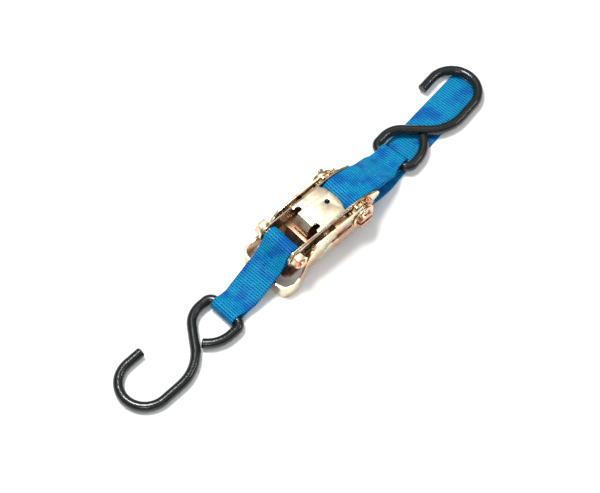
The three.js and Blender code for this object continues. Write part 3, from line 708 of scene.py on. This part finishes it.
def hook(name, node, body, bar, plan, swing, flipped):
    """The dipped rod, its eye's bar at bar, turned by swing, its far end leaning down."""
    sides = 28
    stations = rod_stations(hook_line())
    spot_y, _ = plan(bar[0])
    lean_c, lean_s = math.cos(HOOK_LEAN), math.sin(HOOK_LEAN)
    turn_c, turn_s = math.cos(swing), math.sin(swing)
    points, faces = [], []
    for x, y, h, radius in stations:
        side = (-math.sin(h), math.cos(h))
        for k in range(sides):
            a = 2 * math.pi * k / sides
            u = x + side[0] * radius * math.cos(a)
            v = (y + side[1] * radius * math.cos(a)) * (-1 if flipped else 1)
            n = radius * math.sin(a)
            lu, ln = u * lean_c + n * lean_s, -u * lean_s + n * lean_c
            place = (bar[0] + lu * turn_c - v * turn_s, spot_y + lu * turn_s + v * turn_c, bar[1] + ln)
            points.append(place)
    count = len(stations)
    for i in range(count - 1):
        for k in range(sides):
            q = (k + 1) % sides
            quad = (i * sides + k, (i + 1) * sides + k, (i + 1) * sides + q, i * sides + q)
            faces.append(quad if flipped else tuple(reversed(quad)))
    caps = [tuple(range(sides)), tuple(reversed(range((count - 1) * sides, count * sides)))]
    faces += caps if flipped else [tuple(reversed(f)) for f in caps]
    piece = new_piece(name, points, faces)
    piece.data.materials.append(VINYL)
    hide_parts(node)
    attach(piece, body)


hook("fixed_end_s_hook", "fixed_end_hook", "fixed_hook", FIXED_BAR, fixed_plan,
     fixed_plan(FIXED_BAR[0])[1] + math.pi, True)
hook("main_end_s_hook", "main_end_hook", "main_hook", MAIN_BAR, main_plan,
     main_plan(MAIN_BAR[0])[1], False)


# ------------------------------------------------------------------ webbing
BAR_WRAP = WIRE_RADIUS + WRAP_GAP + LAYER  # radius of the webbing's middle round a bar
BOLT_WRAP = SLEEVE_RADIUS + GAP + LAYER
SURFACE = LAYER * THICK / WEB  # from a layer's middle to its face


def tangent_angle(centre, radius, point, side):
    """Angle on a circle where a line from point touches it."""
    away = math.atan2(point[1] - centre[1], point[0] - centre[0])
    reach = math.hypot(point[0] - centre[0], point[1] - centre[1])
    return math.degrees(away + side * math.acos(radius / reach))


def webbing(piece, node, body, extra=()):
    """Dresses a strap and its stitches, hides the node they stand for and puts them on their body."""
    piece.data.materials.append(BLUE)
    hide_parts(node)
    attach(piece, body)
    for trim in extra:
        trim.data.materials.append(THREAD)
        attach(trim, body)


def fixed_sling():
    """One closed sling: over the grip to the hook's bar, and back underneath to the bolt."""
    seam = catmull(FIXED_SEAM, count=90)
    upper, lower = offset(seam, -LAYER), offset(seam, LAYER)
    top_on = tangent_angle(FIXED_BAR, BAR_WRAP, upper[-1], 1)
    under_off = tangent_angle(FIXED_BAR, BAR_WRAP, lower[-1], -1)
    bolt_on = tangent_angle(BOLT, BOLT_WRAP, lower[0], 1)
    bolt_off = tangent_angle(BOLT, BOLT_WRAP, upper[0], -1)
    around_bar = arc(FIXED_BAR, BAR_WRAP, top_on, under_off + 360)
    around_bolt = arc(BOLT, BOLT_WRAP, bolt_on, bolt_off + 360)
    path = even(np.vstack([upper, around_bar, lower[::-1], around_bolt]), closed=True)
    share = drawn_in(FIXED_WIDTH, FIXED_BAR[0])
    piece, length = ribbon("fixed_webbing_sling", path, FIXED_WIDTH, THICK, fixed_plan, share,
                           closed=True)
    top = even(upper)
    bare_by_hook, bare_by_bolt = 2, 34
    rows = stitching("fixed_webbing_stitches", top[::-1], bare_by_hook, len(top) - bare_by_bolt,
                     SURFACE, fixed_plan, share, FIXED_WIDTH)
    webbing(piece, "fixed_strap", "fixed_webbing",
            [rows])


def main_webbing():
    """From the spool over the top, doubled round the hook's bar and sewn back on itself."""
    centre = (0.0, AXLE_Z)
    seam = catmull(MAIN_SEAM, count=60)
    upper, lower = offset(seam, LAYER), offset(seam, -LAYER)
    on_spool = arc(centre, LEAVE, 150, 75, step=3)
    run = catmull([*MAIN_RUN, tuple(upper[0])], count=20)
    top_on = tangent_angle(MAIN_BAR, BAR_WRAP, upper[-1], -1)
    under_off = tangent_angle(MAIN_BAR, BAR_WRAP, lower[-1], 1)
    around = arc(MAIN_BAR, BAR_WRAP, top_on, under_off - 360)
    path = even(np.vstack([on_spool, run, upper, around, lower[::-1]]))
    share = drawn_in(MAIN_WIDTH, MAIN_BAR[0])
    piece, length = ribbon("main_webbing_strap", path, MAIN_WIDTH, THICK, main_plan, share)
    top = even(upper)
    bare = 3
    rows = stitching("main_webbing_stitches", top, bare, len(top) - bare, SURFACE, main_plan, share,
                     MAIN_WIDTH)
    webbing(piece, "main_strap", "main_webbing",
            [rows])


def tail():
    """The loose end, from under the spool down to the ground and along it."""
    under = math.radians(-105)
    start = (LEAVE * math.cos(under), AXLE_Z + LEAVE * math.sin(under))
    flat_x, flat_z = TAIL_FLAT
    flat = [(flat_x + (TAIL_END - flat_x) * k / TAIL_STEPS, flat_z) for k in range(TAIL_STEPS + 1)]
    path = even(catmull([start, (0, AXLE_Z - LEAVE), *TAIL_FALL, *flat], count=260))
    piece, length = ribbon("webbing_tail", path, MAIN_WIDTH, TAIL_THICK, tail_plan)
    webbing(piece, "strap_tail", "frame")


def roll():
    """Both arms of the webbing wound on the spool, joined through the mandrel's slot."""
    arms = []
    for start in (0, 180):
        angles = np.linspace(0, ARM_DEGREES, 110)
        radius = ARM_START + ARM_GROWTH * angles / ARM_DEGREES
        turn = np.radians(start + angles)
        arms.append(np.stack([radius * np.cos(turn), AXLE_Z + radius * np.sin(turn)], 1))
    through = np.array([(x, AXLE_Z) for x in np.linspace(-SLOT_HALF, SLOT_HALF, 12)])
    path = even(np.vstack([arms[1][::-1], through, arms[0]]))
    piece, length = ribbon("webbing_on_spool", path, ROLL_WIDTH, ROLL_THICK, lambda x: (0.0, 0.0))
    webbing(piece, "strap_on_spool", "spool")


fixed_sling()
main_webbing()
tail()
roll()


# ------------------------------------------------------------------ studio
FLOOR_HALF = 6.0  # metres, as is the drop that keeps it off the part
FLOOR_DROP = 0.0001
# (place, brightness) up the sky, from straight down to straight up
SKY = [(0.0, 0.9), (0.55, 0.85), (0.6, 0.24), (0.74, 0.26), (0.86, 0.8), (1.0, 0.95)]
SKY_STRENGTH = 0.75


def stage():
    """A wide sheet of white paper."""
    made, shader, add, links = material("paper")
    place = add("ShaderNodeTexCoord").outputs["Object"]
    tone = add("ShaderNodeTexNoise", {"Vector": place, "Scale": 3, "Detail": 2})
    links.new(ramp(add, tone.outputs["Fac"], [(0.3, (0.93, 0.93, 0.93)), (0.7, (0.96, 0.96, 0.96))]),
              shader.inputs["Base Color"])
    shader.inputs["Roughness"].default_value = 0.9
    shader.inputs["Specular IOR Level"].default_value = 0.1
    corners = [(-1, -1), (1, -1), (1, 1), (-1, 1)]
    mesh = bpy.data.meshes.new("floor")
    mesh.from_pydata([(x * FLOOR_HALF, y * FLOOR_HALF, 0) for x, y in corners], [], [(0, 1, 2, 3)])
    floor = bpy.data.objects.new("floor", mesh)
    floor.location.z = CAD_BOX[0][2] - FLOOR_DROP
    floor.data.materials.append(made)
    bpy.context.collection.objects.link(floor)


def area_light(name, place, size, power, colour=(1, 1, 1)):
    """A light aimed at the origin, with its place and size in metres and its power in watts."""
    data = bpy.data.lights.new(name, "AREA")
    data.shape, data.size, data.size_y = "RECTANGLE", size[0], size[1]
    data.energy, data.color = power, colour
    lamp = bpy.data.objects.new(name, data)
    lamp.location = place
    lamp.rotation_mode = "QUATERNION"
    lamp.rotation_quaternion = (-Vector(place)).to_track_quat("-Z", "Y")
    bpy.context.collection.objects.link(lamp)


def studio_sky():
    """A grey world that is bright below and overhead, with a dark band in between."""
    world = bpy.data.worlds.new("studio")
    bpy.context.scene.world = world
    world.use_nodes = True
    nodes, links = world.node_tree.nodes, world.node_tree.links
    direction = nodes.new("ShaderNodeTexCoord")
    split = nodes.new("ShaderNodeSeparateXYZ")
    sky = nodes.new("ShaderNodeValToRGB")
    while len(sky.color_ramp.elements) < len(SKY):
        sky.color_ramp.elements.new(0.5)
    for element, (place, level) in zip(sky.color_ramp.elements, SKY):
        element.position, element.color = place, (level, level, level, 1)
    half_up = nodes.new("ShaderNodeMath")
    half_up.operation = "MULTIPLY_ADD"
    half_up.inputs[1].default_value, half_up.inputs[2].default_value = 0.5, 0.5
    links.new(direction.outputs["Generated"], split.inputs["Vector"])
    links.new(split.outputs["Z"], half_up.inputs[0])
    links.new(half_up.outputs["Value"], sky.inputs["Fac"])
    links.new(sky.outputs["Color"], nodes["Background"].inputs["Color"])
    nodes["Background"].inputs["Strength"].default_value = SKY_STRENGTH


stage()
area_light("key", (-0.1, 0.4, 1.5), (0.5, 0.4), 22)
area_light("card", (0.52, 0.55, 1.3), (0.5, 0.5), 0.8)
area_light("fill", (-0.9, -0.6, 1.1), (0.4, 0.25), 3, (0.97, 0.98, 1))
area_light("edge", (0.8, -0.7, 0.9), (0.5, 0.07), 3)

studio_sky()
bpy.context.scene.view_settings.view_transform = "Standard"
